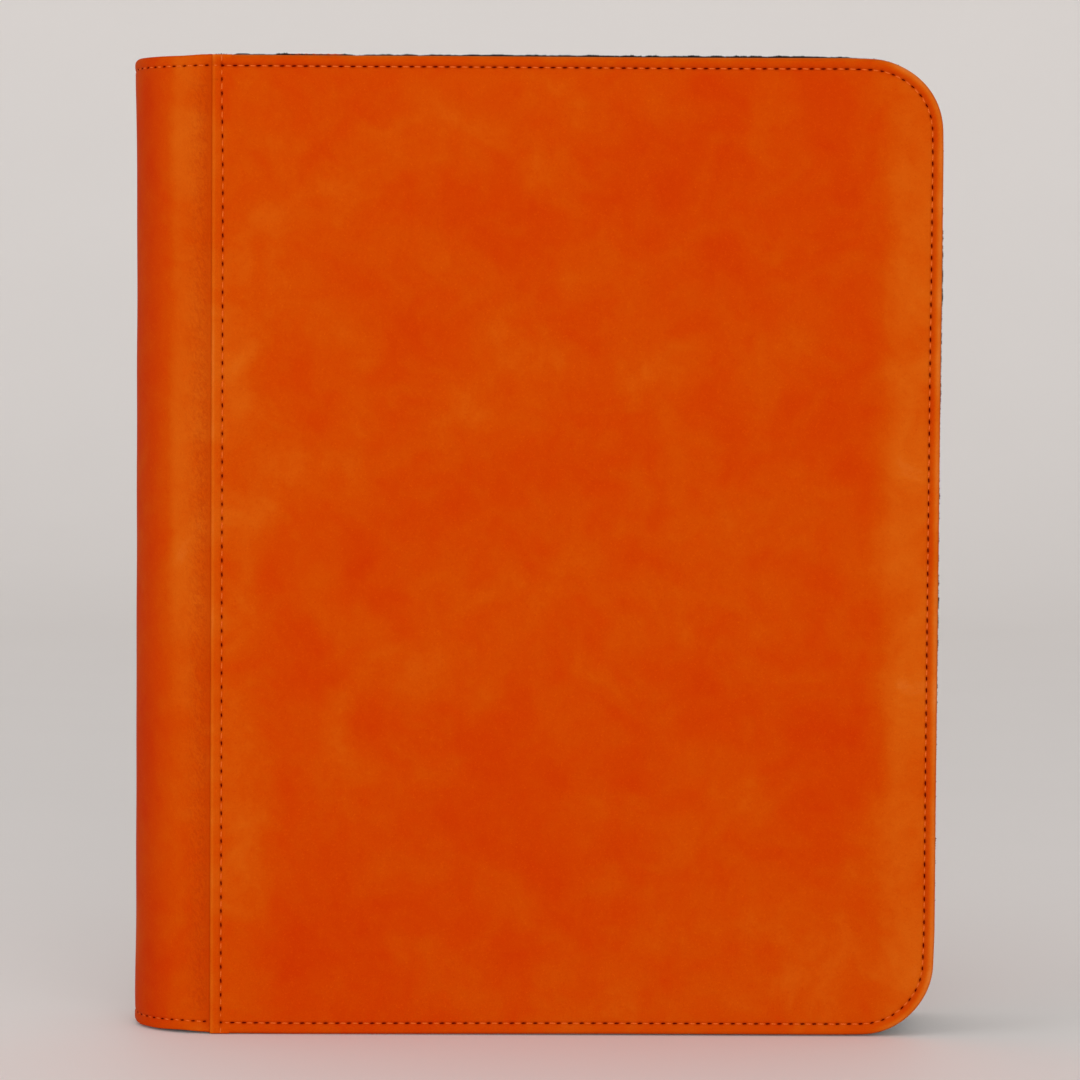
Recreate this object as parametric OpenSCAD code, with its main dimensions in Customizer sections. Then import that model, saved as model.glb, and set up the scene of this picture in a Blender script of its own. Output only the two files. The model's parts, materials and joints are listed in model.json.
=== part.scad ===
// Zip-around binder for trading cards in rigid holders.
// It stands on its lower edge with the spine at -X, the front cover at -Y and +Z up.
// The origin is the bottom centre of the part's bounding box. All sizes are in millimetres.

/* [Case] */
// Height of the covers and the spine
case_h = 352; // [290:1:430]
// Width of a cover, from its hinge line to its fore-edge
cover_w = 262; // [215:1:320]
// Depth of the closed case over both covers
case_d = 55; // [45:0.5:68]
// Radius of the two outer corners of each cover
corner_r = 26; // [16:1:34]

/* [Cover layers] */
// Thickness of the leather panel on each cover
panel_t = 0.9; // [0.6:0.1:1.4]
// Thickness of the stiff board in each cover
board_t = 1.6; // [1:0.1:3]
// Distance from the hinge line to the edge of the board
board_back = 8; // [6:0.5:14]
// Thickness of the panel's leather where it is turned in over the board
turn_t = 0.5; // [0.3:0.1:1]
// Width of the turned-in leather
turn_w = 12; // [8:1:20]
// Thickness of the cloth lining
lining_t = 0.6; // [0.4:0.1:1.2]

/* [Spine] */
// Thickness of the spine's leather, which also runs under the covers' hinge edges
spine_skin_t = 0.8; // [0.5:0.1:1.4]
// Length of the flat strip between a hinge line and the start of the spine's curve
spine_flat = 1.5; // [0.5:0.25:3]
// Thickness of the springy sheet that keeps the spine round
stiffener_t = 0.7; // [0.4:0.1:1.2]
// Distance from the hinge line to the edge of that sheet
stiffener_back = 2; // [1:0.5:5]
// Free gap on each side of a cover's hinge line
hinge_gap = 0.3; // [0.2:0.05:0.4]
// Distance from the spine's leather out to the axis that a cover turns on
hinge_out = 0.5; // [0.4:0.05:0.6]
// Distance from the hinge line to the face of the binding board
binding_depth = 7; // [5:0.5:9]
// Thickness of the binding board
binding_t = 1.5; // [1:0.1:2.5]

/* [Stitching] */
// Distance from an edge to its line of stitches
stitch_in = 4; // [3:0.25:6]
// Distance from the hinge line to the stitches that close the cover's hinge edge
hinge_stitch = 4.3; // [3:0.1:6]
// Distance from the hinge line to the first stitches on the spine's ends
spine_stitch = 4.5; // [4.5:0.25:8]
// Width of the sewing thread
thread_w = 0.55; // [0.3:0.05:0.8]
// Height of the thread above the leather
thread_proud = 0.25; // [0.1:0.05:0.4]

/* [Zip band] */
// Distance from a cover's edge in to the zip band
band_in = 2; // [1.5:0.1:4]
// Distance from the hinge line to the end of the zip band
band_left = 1.5; // [1:0.5:4]
// Thickness of the gusset cloth
gusset_t = 1; // [0.6:0.1:1.5]
// Thickness of the zip tape
tape_t = 0.8; // [0.5:0.1:1]
// Width of one half of the zip tape
tape_w = 15; // [12:0.5:17]
// Width over which the gusset and the tape are sewn together
tape_lap = 4; // [3:0.5:6]
// Radius of the gusset's rolled edge beside the cover
piping_r = 1.6; // [1:0.1:2]
// How far the rolled edge stands out past the cover's edge
piping_proud = 1.2; // [0.4:0.1:1.5]
// Width of one row of teeth
teeth_w = 2.5; // [2:0.1:3]
// Height of the teeth above the tape
teeth_t = 2; // [1.5:0.1:2.5]
// Gap between the two rows of teeth
chain_gap = 1.2; // [1:0.1:1.6]
// Length of each metal stop at the ends of the teeth
stop_len = 2.4; // [2:0.1:4]

/* [Slider] */
// Length of the slider
slider_len = 11; // [9:0.5:13]
// Thickness of the slider's plates
plate_t = 1.2; // [0.8:0.1:1.5]
// Running clearance between the slider and the teeth and tape
slider_clear = 0.2; // [0.15:0.05:0.3]
// Thickness of the slider's side flanges
flange_t = 1.3; // [0.9:0.1:1.6]
// Clearance by which the parked slider swings past the end of the front teeth
swing_clear = 1.5; // [1:0.5:4]
// Length of the bridge that holds the puller
bridge_len = 8; // [7:0.5:9]
// Width of the bridge
bridge_w = 2.2; // [1.6:0.1:2.4]
// Thickness of the bridge over the puller's bar
bridge_t = 1.2; // [0.8:0.1:1.6]
// Radius of the puller's bar
bar_r = 0.6; // [0.5:0.05:0.7]
// Width of the metal puller
puller_w = 7.2; // [6:0.2:9]
// Length of the metal puller from its bar to its end
puller_len = 18; // [15:0.5:24]
// Width of each of the puller's arms
arm_w = 2.2; // [1.6:0.1:2.2]
// Width of the leather pull tab
tab_w = 9.2; // [8:0.2:14]
// Length of the leather pull tab
tab_len = 27; // [20:1:36]
// Length of the puller that lies inside the leather tab
tab_grip = 5; // [5:0.5:8]
// Thickness of each of the tab's two layers
tab_t = 0.9; // [0.6:0.1:1]
// Radius of the tab rivet's shank
rivet_r = 1.2; // [0.8:0.1:1.5]

/* [Pages] */
// Columns of pockets on a page
pocket_cols = 3; // [2:1:4]
// Rows of pockets on a page
pocket_rows = 3; // [2:1:4]
// Thickness of a page's backing sheet
sheet_t = 0.5; // [0.3:0.1:0.8]
// Thickness of the clear pocket film
film_t = 0.2; // [0.15:0.05:0.3]
// Width of the welded seams between pockets
weld_w = 2.4; // [2:0.2:5]
// Free gap between two pages
leaf_gap = 1; // [0.6:0.1:1.5]
// Free gap between the outer pages and the lining
lining_gap = 0.7; // [0.6:0.1:3]
// Gap between a page's upper or lower edge and the cover's edge
leaf_end_gap = 10; // [9:0.5:16]
// Gap between a page's fore-edge and the cover's fore-edge
leaf_side_gap = 12; // [8:0.5:20]
// Width of a page's plain binding margin
margin_w = 12; // [8:1:25]
// Distance from the hinge line to the row of page hinges
root_depth = 1.5; // [1.2:0.1:3]
// Radius of the bead that a page turns on
bead_r = 0.45; // [0.35:0.05:0.5]
// Clearance between that bead and its guard
bead_clear = 0.1; // [0.05:0.05:0.15]
// Thickness of the cloth guard that holds a page
guard_t = 0.8; // [0.6:0.1:1]
// Thickness of a guard's foot
guard_foot_t = 0.4; // [0.3:0.1:0.8]

/* [Hidden] */
$fn = 96;

// The number of card pages, each with its own two names in NODES.
leaf_count = 12;

// A cut runs this far past a face that it goes through.
past = 1;

// Depths of a cover's layers, on the front cover from its face inwards.
y_skin = -case_d / 2;
y_tab = y_skin + panel_t;
y_board = y_tab + spine_skin_t;
y_turn = y_board + board_t;
y_lining = y_turn + turn_t;
y_inside = y_lining + lining_t;
y_hinge_lining = y_board + lining_t;

// Radii of the spine's layers round the middle of the case.
r_spine = case_d / 2 - panel_t;
r_stiffener = r_spine - spine_skin_t;
r_lining = r_stiffener - stiffener_t;
r_inside = r_lining - lining_t;

// The zip band: depths on the front half, and distances in from the cover's edge.
y_chain = -chain_gap / 2;
y_teeth = y_chain - teeth_w;
y_tape = y_chain - tape_w;
y_gusset_end = y_tape + tape_lap;
tape_in = band_in + gusset_t;
teeth_in = tape_in - teeth_t;
lining_in = tape_in;
piping_in = piping_r - piping_proud;

// Heights on the upper run of the zip, where the slider stands.
z_tape_top = case_h - tape_in;
z_tape_bottom = z_tape_top - tape_t;
z_teeth_top = z_tape_top + teeth_t;
z_plate = z_teeth_top + slider_clear;
z_plate_top = z_plate + plate_t;
z_bar = z_plate_top + bar_r + slider_clear;

// The slider is parked next to the stop at the hinge end of the back row of teeth.
back_teeth_left = band_left + stop_len;
slider_x = back_teeth_left + slider_clear + slider_len / 2;
slider_half_w = -y_teeth + slider_clear + flange_t;

// The parked slider swings with the back cover, so the front teeth start past its corner.
y_axis = r_spine + hinge_out;
corner_swing = norm([slider_x + slider_len / 2, y_axis + slider_half_w]);
corner_reach = sqrt(corner_swing * corner_swing - (y_axis - y_chain) * (y_axis - y_chain));
front_teeth_left = corner_reach + swing_clear + stop_len;

// Pages, spread evenly over the depth between the linings.
leaf_pitch = (-2 * y_inside - 2 * lining_gap + leaf_gap) / leaf_count;
leaf_t = leaf_pitch - leaf_gap;
pocket_t = (leaf_t - sheet_t) / 2 - film_t;
leaf_bottom = leaf_end_gap;
leaf_h = case_h - 2 * leaf_end_gap;
leaf_right = cover_w - leaf_side_gap;
pockets_left = margin_w - root_depth;
pocket_w = (leaf_right - pockets_left) / pocket_cols;
pocket_h = leaf_h / pocket_rows;

// The hinge line's place in the part's frame, which centres the bounding box on the origin.
case_left = -(spine_flat + r_spine + thread_proud);
case_right = cover_w + piping_proud;
hinge_x = -(case_left + case_right) / 2;

function leaf_y(i) = (i - (leaf_count - 1) / 2) * leaf_pitch;

// ---- Shapes that repeat ----

// Extrudes an outline, drawn in X and Z, between two depths along Y.
module slab(y0, y1) {
    translate([0, y1, 0]) rotate([90, 0, 0]) linear_extrude(y1 - y0) children();
}

// A cover's outline, moved in by inset, from x = left to the fore-edge.
module outline(inset = 0, left = 0) {
    round_x = cover_w - corner_r;
    translate([left, inset])
        square([round_x - left, case_h - 2 * inset]);
    translate([left, corner_r])
        square([cover_w - inset - left, case_h - 2 * corner_r]);
    for (z = [corner_r, case_h - corner_r])
        translate([round_x, z]) circle(corner_r - inset);
}

// The U-shaped strip between two such outlines, with its two open ends at x = left.
module strip(inset, width, left) {
    difference() {
        outline(inset, left);
        outline(inset + width, left - past);
    }
}

// An upright rectangle beside the hinge, between two widths and as far from each end.
module hinge_strip(x0, x1, end) {
    translate([x0, end]) square([x1 - x0, case_h - 2 * end]);
}

// A disc at the start of the spine's curve, with a flat-sided strip out past the hinge line.
module rounded_strip(r) {
    translate([-spine_flat, 0]) circle(r);
    translate([-spine_flat, -r]) square([spine_flat + r, 2 * r]);
}

// The part of that shape on the spine's side of the hinge line: the spine's cross-section.
module spine_section(r, back = hinge_gap) {
    far = spine_flat + r + past;
    intersection() {
        rounded_strip(r);
        translate([-far, -r - past]) square([far - back, 2 * (r + past)]);
    }
}

// A half-round wall of the spine, from radius r inwards, between two heights.
module spine_wall(r, t, z0, z1, back = hinge_gap) {
    translate([0, 0, z0]) linear_extrude(z1 - z0) difference() {
        spine_section(r, back);
        rounded_strip(r - t);
    }
}

module box(low, high) {
    translate(low) cube(high - low);
}

// Draws a piece of the front half in its place, or mirrored for the back half.
module half(back = false) {
    translate([hinge_x, 0, 0]) mirror([0, back ? 1 : 0, 0]) children();
}

module placed() {
    translate([hinge_x, 0, 0]) children();
}

// ---- Covers ----

// The panel wraps the cover's edges, is turned in over the board, and thins at the hinge.
module cover_leather() {
    color("chocolate") difference() {
        union() {
            slab(y_skin, y_lining) outline(0, board_back);
            slab(y_skin, y_hinge_lining) outline(0, hinge_gap);
        }
        slab(y_tab, y_turn) outline(panel_t, hinge_gap - past);
        slab(y_board, y_lining + past) outline(turn_w, board_back - past);
    }
}

module cover_foam() {
    color("lightgray") slab(y_tab, y_board) outline(panel_t, board_back);
}

module cover_board() {
    color("tan") slab(y_board, y_turn) outline(panel_t, board_back);
}

// The lining lies on the board and the turned-in leather, and steps down to the hinge.
module cover_lining() {
    color("dimgray") {
        slab(y_turn, y_inside) outline(turn_w, board_back);
        slab(y_lining, y_inside) outline(lining_in, board_back);
        slab(y_board, y_inside)
            hinge_strip(board_back - lining_t, board_back, lining_in);
        slab(y_board, y_hinge_lining) hinge_strip(hinge_gap, board_back, panel_t);
    }
}

// The edge of the spine's leather, sewn under the panel.
module hinge_tab() {
    color("sienna") slab(y_tab, y_board) hinge_strip(hinge_gap, board_back, panel_t);
}

module seam_thread() {
    color("darkred") slab(y_skin - thread_proud, y_skin) {
        strip(stitch_in - thread_w / 2, thread_w, hinge_stitch);
        hinge_strip(hinge_stitch - thread_w / 2, hinge_stitch + thread_w / 2, stitch_in);
    }
}

// ---- Zip band ----

module gusset() {
    color("black") slab(y_lining, y_gusset_end) strip(band_in, gusset_t, band_left);
}

// The gusset's rolled edge, pressed flat where the case stands on it.
module gusset_piping() {
    y = y_lining + piping_r;
    round_x = cover_w - corner_r;
    color("black") intersection() {
        union() {
            for (z = [piping_in, case_h - piping_in])
                translate([band_left, y, z]) rotate([0, 90, 0])
                    cylinder(r = piping_r, h = round_x - band_left);
            translate([cover_w - piping_in, y, corner_r])
                cylinder(r = piping_r, h = case_h - 2 * corner_r);
            for (end = [[corner_r, -90], [case_h - corner_r, 0]])
                translate([round_x, y, end[0]]) rotate([90, 0, 0]) rotate([0, 0, end[1]])
                    rotate_extrude(angle = 90)
                        translate([corner_r - piping_in, 0]) circle(piping_r);
        }
        box([0, y_skin, 0], [cover_w + 2 * piping_r, 0, case_h + 2 * piping_r]);
    }
}

module zip_tape() {
    color("black") slab(y_tape, y_chain) strip(tape_in, tape_t, band_left);
}

// One row of teeth. The two ends of the row may start at different places.
module zip_teeth(upper_left, lower_left) {
    color("dimgray") difference() {
        slab(y_teeth, y_chain) strip(teeth_in, teeth_t, band_left);
        box([0, y_teeth - past, case_h / 2], [upper_left, 0, case_h]);
        box([0, y_teeth - past, 0], [lower_left, 0, case_h / 2]);
    }
}

// The metal stops before the first tooth and after the last one.
module zip_stops(upper_left, lower_left) {
    color("silver") {
        box([upper_left - stop_len, y_teeth, z_tape_top],
            [upper_left, y_chain, z_teeth_top]);
        box([lower_left - stop_len, y_teeth, teeth_in],
            [lower_left, y_chain, tape_in]);
    }
}

// ---- Slider and puller ----

// A slider plate's outline: wide at the mouth, narrower at the tail.
module plate_outline(half_w) {
    nose = 3;
    polygon([
        [-slider_len / 2, -half_w + 0.8], [-slider_len / 2 + nose, -half_w],
        [slider_len / 2 - nose, -half_w], [slider_len / 2, -half_w + 1.2],
        [slider_len / 2, half_w - 1.2], [slider_len / 2 - nose, half_w],
        [-slider_len / 2 + nose, half_w], [-slider_len / 2, half_w - 0.8]
    ]);
}

module plate(z0, z1) {
    translate([slider_x, 0, z0]) linear_extrude(z1 - z0) plate_outline(slider_half_w);
}

module zip_slider() {
    post_x = slider_x + slider_len / 2 - 4.5;
    post_half = chain_gap / 2 - slider_clear;
    flange_y = slider_half_w - flange_t;
    bridge_top = z_bar + bar_r + slider_clear + bridge_t;
    color("dimgray") {
        difference() {
            plate(z_tape_top + slider_clear, z_plate_top);
            box([slider_x - slider_len, -flange_y, z_tape_top],
                [slider_x + slider_len, flange_y, z_plate]);
        }
        plate(z_tape_bottom - slider_clear - plate_t, z_tape_bottom - slider_clear);
        box([post_x, -post_half, z_tape_bottom - slider_clear],
            [post_x + 3.5, post_half, z_plate]);
        difference() {
            box([slider_x - bridge_len / 2, -bridge_w / 2, z_plate_top],
                [slider_x + bridge_len / 2, bridge_w / 2, bridge_top]);
            box([slider_x - bridge_len / 2 + 1.3, -bridge_w, z_plate_top],
                [slider_x + bridge_len / 2 - 1.3, bridge_w, bridge_top - bridge_t]);
        }
    }
}

// The puller turns on a bar under the slider's bridge, with one arm on each side of it.
module zip_puller() {
    plate_left = slider_x + bridge_len / 2 + 3.6;
    rivet_x = slider_x + puller_len - tab_grip / 2;
    color("silver") difference() {
        union() {
            translate([slider_x, -puller_w / 2, z_bar]) rotate([-90, 0, 0])
                cylinder(r = bar_r, h = puller_w);
            for (side = [-1, 1])
                box([slider_x, side * (puller_w - arm_w) / 2 - arm_w / 2, z_bar - bar_r],
                    [plate_left, side * (puller_w - arm_w) / 2 + arm_w / 2, z_bar + bar_r]);
            box([plate_left, -puller_w / 2, z_bar - bar_r],
                [slider_x + puller_len, puller_w / 2, z_bar + bar_r]);
        }
        translate([rivet_x, 0, z_bar - past]) cylinder(r = rivet_r, h = 2 * past);
    }
}

// The leather tab is folded round the end of the puller and riveted through it.
module zip_pull_tab() {
    left = slider_x + puller_len - tab_grip;
    right = left + tab_len;
    half_t = bar_r + tab_t;
    color("chocolate") difference() {
        union() {
            box([left, -tab_w / 2, z_bar - half_t],
                [right - tab_w / 2, tab_w / 2, z_bar + half_t]);
            translate([right - tab_w / 2, 0, z_bar - half_t])
                cylinder(r = tab_w / 2, h = 2 * half_t);
        }
        box([left - past, -puller_w / 2, z_bar - bar_r],
            [left + tab_grip, puller_w / 2, z_bar + bar_r]);
        translate([left + tab_grip / 2, 0, z_bar - half_t - past])
            cylinder(r = rivet_r, h = 2 * (half_t + past));
    }
}

module zip_pull_rivet() {
    half_t = bar_r + tab_t;
    head_t = 0.4;
    color("silver") translate([slider_x + puller_len - tab_grip / 2, 0, z_bar]) {
        translate([0, 0, -half_t]) cylinder(r = rivet_r, h = 2 * half_t);
        for (z = [-half_t - head_t, half_t])
            translate([0, 0, z]) cylinder(r = 1.8 * rivet_r, h = head_t);
    }
}

// ---- Spine ----

// The spine's leather, turned in over the layers behind it at both ends.
module spine_leather() {
    color("chocolate") difference() {
        spine_wall(r_spine, r_spine - r_inside, 0, case_h);
        translate([0, 0, panel_t]) linear_extrude(case_h - 2 * panel_t)
            rounded_strip(r_stiffener);
    }
}

module spine_stiffener() {
    color("white")
        spine_wall(r_stiffener, stiffener_t, panel_t, case_h - panel_t, stiffener_back);
}

module spine_lining() {
    color("dimgray") spine_wall(r_lining, lining_t, panel_t, case_h - panel_t);
}

// A cloth panel closes the spine at each end, level with the zip band.
module spine_cap(z) {
    color("black") translate([0, 0, z]) linear_extrude(gusset_t) spine_section(r_inside);
}

module spine_seam_thread() {
    color("darkred") for (z = [stitch_in, case_h - stitch_in])
        spine_wall(r_spine + thread_proud, thread_proud,
                   z - thread_w / 2, z + thread_w / 2, spine_stitch);
}

// A flat board across the hollow of the spine, with its long edges on the lining.
module binding_board() {
    color("gray") translate([0, 0, leaf_bottom - 2]) linear_extrude(leaf_h + 4)
        intersection() {
            rounded_strip(r_inside);
            translate([-binding_depth - binding_t, -r_inside])
                square([binding_t, 2 * r_inside]);
        }
}

// One T-shaped cloth guard for each page, hollowed along its end for the page's bead.
module page_guards() {
    foot_w = leaf_pitch - 1;
    color("black") for (i = [0 : leaf_count - 1])
        translate([0, leaf_y(i), leaf_bottom]) linear_extrude(leaf_h) difference() {
            union() {
                translate([-binding_depth, -foot_w / 2]) square([guard_foot_t, foot_w]);
                translate([-binding_depth, -guard_t / 2])
                    square([binding_depth - root_depth, guard_t]);
            }
            translate([-root_depth, 0]) circle(bead_r + bead_clear);
        }
}

// ---- Pages ----

module leaf_sheet(i) {
    color("black") translate([0, leaf_y(i), leaf_bottom]) linear_extrude(leaf_h) {
        translate([-root_depth, 0]) circle(bead_r);
        translate([-root_depth, -sheet_t / 2]) square([leaf_right + root_depth, sheet_t]);
    }
}

// One side's clear film: a welded sheet with a raised pocket at each place, open to the spine.
module pocket_film() {
    raised = pocket_t + film_t;
    pocket_x = pocket_w - weld_w;
    pocket_z = pocket_h - weld_w;
    difference() {
        union() {
            box([pockets_left, 0, leaf_bottom], [leaf_right, film_t, leaf_bottom + leaf_h]);
            for (c = [0 : pocket_cols - 1], r = [0 : pocket_rows - 1])
                translate([pockets_left + c * pocket_w + weld_w / 2, 0,
                           leaf_bottom + r * pocket_h + weld_w / 2])
                    cube([pocket_x, raised, pocket_z]);
        }
        for (c = [0 : pocket_cols - 1], r = [0 : pocket_rows - 1])
            translate([pockets_left + c * pocket_w + weld_w / 2, -past,
                       leaf_bottom + r * pocket_h + weld_w / 2 + film_t])
                cube([pocket_x - film_t, pocket_t + past, pocket_z - 2 * film_t]);
    }
}

module leaf_pockets(i) {
    color("lightgray") for (side = [0, 1])
        translate([0, leaf_y(i), 0]) mirror([0, side, 0]) translate([0, sheet_t / 2, 0])
            pocket_film();
}

// ---- Nodes ----

half() cover_leather();  // front_cover_leather
half() cover_foam();  // front_cover_foam
half() cover_board();  // front_cover_board
half() cover_lining();  // front_cover_lining
half() hinge_tab();  // front_hinge_tab
half() gusset();  // front_gusset
half() gusset_piping();  // front_gusset_piping
half() zip_tape();  // front_zip_tape
half() zip_teeth(front_teeth_left, back_teeth_left);  // front_zip_teeth
half() zip_stops(front_teeth_left, back_teeth_left);  // front_zip_stops
half() seam_thread();  // front_seam_thread

half(true) cover_leather();  // back_cover_leather
half(true) cover_foam();  // back_cover_foam
half(true) cover_board();  // back_cover_board
half(true) cover_lining();  // back_cover_lining
half(true) hinge_tab();  // back_hinge_tab
half(true) gusset();  // back_gusset
half(true) gusset_piping();  // back_gusset_piping
half(true) zip_tape();  // back_zip_tape
half(true) zip_teeth(back_teeth_left, back_teeth_left);  // back_zip_teeth
half(true) zip_stops(back_teeth_left, back_teeth_left);  // back_zip_stops
half(true) seam_thread();  // back_seam_thread

placed() spine_leather();
placed() spine_stiffener();
placed() spine_lining();
placed() spine_cap(case_h - tape_in);  // spine_cap_top
placed() spine_cap(band_in);  // spine_cap_bottom
placed() spine_seam_thread();
placed() binding_board();
placed() page_guards();

placed() zip_slider();
placed() zip_puller();
placed() zip_pull_tab();
placed() zip_pull_rivet();

// Page names count from 01 at the front cover.
function leaf_name(i, piece) = str("leaf_", i < 9 ? "0" : "", i + 1, "_", piece);

for (i = [0 : leaf_count - 1]) {
    placed() leaf_sheet(i);
    placed() leaf_pockets(i);
}
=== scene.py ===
"""Looks of the zip-around card binder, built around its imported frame. Lengths are in millimetres
until a mesh is made."""

import json
import math

import bmesh
import bpy
import numpy as np
from mathutils import Matrix, Vector
from mathutils.geometry import delaunay_2d_cdt


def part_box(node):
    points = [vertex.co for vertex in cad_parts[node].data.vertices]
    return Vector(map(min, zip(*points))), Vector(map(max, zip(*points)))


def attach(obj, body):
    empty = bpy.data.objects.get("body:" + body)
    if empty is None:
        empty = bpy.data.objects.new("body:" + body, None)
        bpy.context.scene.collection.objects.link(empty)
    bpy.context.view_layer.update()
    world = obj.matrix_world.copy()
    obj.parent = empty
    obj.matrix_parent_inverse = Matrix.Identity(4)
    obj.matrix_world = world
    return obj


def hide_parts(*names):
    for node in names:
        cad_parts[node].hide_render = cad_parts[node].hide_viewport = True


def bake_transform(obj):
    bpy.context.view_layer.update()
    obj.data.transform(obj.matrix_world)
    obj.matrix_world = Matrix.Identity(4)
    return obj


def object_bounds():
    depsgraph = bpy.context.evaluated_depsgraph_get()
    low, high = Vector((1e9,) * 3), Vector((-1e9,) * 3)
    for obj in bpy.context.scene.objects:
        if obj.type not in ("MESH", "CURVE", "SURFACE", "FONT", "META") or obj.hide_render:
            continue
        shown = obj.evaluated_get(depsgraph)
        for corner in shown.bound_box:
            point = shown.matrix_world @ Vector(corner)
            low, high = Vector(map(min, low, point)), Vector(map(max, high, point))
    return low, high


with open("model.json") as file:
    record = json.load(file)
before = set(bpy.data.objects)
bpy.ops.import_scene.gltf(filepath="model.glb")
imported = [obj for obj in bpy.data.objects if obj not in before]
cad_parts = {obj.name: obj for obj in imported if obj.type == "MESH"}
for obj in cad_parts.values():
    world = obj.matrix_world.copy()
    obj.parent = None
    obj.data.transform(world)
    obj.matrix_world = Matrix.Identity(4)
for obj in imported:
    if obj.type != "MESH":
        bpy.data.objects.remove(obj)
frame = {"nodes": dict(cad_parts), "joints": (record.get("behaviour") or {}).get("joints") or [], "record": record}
CAD_LOW, CAD_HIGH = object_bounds()

# ---- sizes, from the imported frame
MM = 0.001
JOINTS = {j["name"]: j for j in frame["joints"]}
SIDES = ("front", "back")


def mm_box(node):
    """The low and high corner of a CAD node's box."""
    low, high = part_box(node)
    return np.array(low) / MM, np.array(high) / MM


HX = JOINTS["front_cover_hinge"]["pos_m"][0] / MM  # the hinge line's x
COVER_LOW, COVER_HIGH = mm_box("front_cover_leather")
TAB_LOW, TAB_HIGH = mm_box("front_hinge_tab")
H = COVER_HIGH[2]
W = COVER_HIGH[0] - HX
FACE = -COVER_LOW[1]  # distance of a cover's outer face from the middle of the case
LEFT = COVER_LOW[0] - HX  # where a cover starts, beside the hinge line
PANEL_T = COVER_HIGH[1] - COVER_LOW[1]  # the wrapped cover's thickness
TAB_T = TAB_HIGH[1] - TAB_LOW[1]
BOARD_X = mm_box("front_cover_board")[0][0] - HX  # where the board starts
SPINE_R = -TAB_LOW[1]  # the outer face of the spine's leather, and the radius of its curve
SPINE_FLAT = (HX - mm_box("spine_leather")[0][0]) - SPINE_R  # the flat strip before the spine's curve
CORNER = 26.0  # radius of the covers' corners
STITCH_IN = 4.0  # distance of the stitches from a cover's edge
HINGE_STITCH = 4.3  # distance of the hinge stitches from the hinge line
PITCH = 4.2
HINGE_PITCH = 5.06
THREAD_R = 0.27
SUNK = 0.16  # how far a stitch's axis starts below the leather
FOLD_R = 0.62  # radius of the leather's fold at the hinge edge
BORDER = 9.0  # width of the finely modelled border of a cover
ABOVE_TABLE = 0.02
NO_HOLE = -50.0  # a length along the edge that is far from every needle hole
rng = np.random.default_rng(7)


# ---- mesh helpers
def ease(a, b, v):
    """0 before a and 1 past b, with a smooth rise between them. a may be the larger."""
    t = np.clip((np.asarray(v, float) - a) / (b - a), 0, 1)
    return t * t * (3 - 2 * t)


def bell(v, width):
    """1 where v is 0, falling off on both sides."""
    return np.exp(-((np.asarray(v, float) / width) ** 2))


def mound(v, start, width):
    """Half a sine wave that rises at start and is back at 0 a width further on."""
    return np.sin(np.pi * np.clip((v - start) / width, 0, 1))


def fold(e, radius):
    """How far a rounded edge drops, at e from its outermost line."""
    t = np.clip(1 - e / radius, 0, 1)
    return radius * (1 - np.sqrt(np.clip(1 - t * t, 0, 1)))


def points(*xyz):
    """Stacks coordinates, any of which may be one number, into a list of points."""
    return np.stack(np.broadcast_arrays(*xyz), -1).reshape(-1, len(xyz))


class Waves:
    """Smooth seeded noise over a plane: a sum of sines."""

    def __init__(self, wavelength, count=9):
        a = rng.uniform(0, 2 * math.pi, count)
        k = 2 * math.pi / (wavelength * rng.uniform(0.7, 1.5, count))
        self.kx, self.kz, self.p = k * np.cos(a), k * np.sin(a), rng.uniform(0, 6.28, count)

    def __call__(self, x, z):
        x, z = np.asarray(x, float), np.asarray(z, float)
        total = sum(np.sin(kx * x + kz * z + p) for kx, kz, p in zip(self.kx, self.kz, self.p))
        return total / math.sqrt(len(self.p))


def grid_faces(rows, cols, start=0, close_cols=False, flip=False):
    """Quads over a rows by cols grid of vertices, numbered row by row from start."""
    rr, cc = np.meshgrid(np.arange(rows - 1), np.arange(cols if close_cols else cols - 1), indexing="ij")
    c2 = (cc + 1) % cols
    quads = np.stack([rr * cols + cc, rr * cols + c2, (rr + 1) * cols + c2, (rr + 1) * cols + cc], -1)
    quads = quads.reshape(-1, 4) + start
    return (quads[:, ::-1] if flip else quads).tolist()


def tube_faces(rings, count, start=0, caps=1):
    """Quads round a tube of rings and a face over each end, wound the other way where caps is -1."""
    first, last = (list(range(k, k + count)) for k in (start, start + (rings - 1) * count))
    return grid_faces(rings, count, start, close_cols=True) + [first[::-caps], last[::caps]]


def shell_faces(rows, cols):
    """Two grids, the second numbered after the first, joined round their rims."""
    n = rows * cols
    rim = [*range(cols), *range(2 * cols - 1, n, cols), *range(n - 2, n - cols - 1, -1),
           *range(n - 2 * cols, 0, -cols)]
    return grid_faces(rows, cols) + grid_faces(rows, cols, n, flip=True) \
        + [[a, b, b + n, a + n] for a, b in zip(rim, rim[1:] + rim[:1])]


def link(name, data):
    """An object in the scene that shows the data."""
    ob = bpy.data.objects.new(name, data)
    bpy.context.scene.collection.objects.link(ob)
    return ob


def smooth_mesh(name, verts, faces, *mats):
    """A smooth-shaded mesh with its materials, in metres."""
    mesh = bpy.data.meshes.new(name)
    mesh.from_pydata(verts, [], faces)
    mesh.polygons.foreach_set("use_smooth", np.full(len(mesh.polygons), True))
    for m in mats:
        mesh.materials.append(m)
    return mesh


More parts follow.
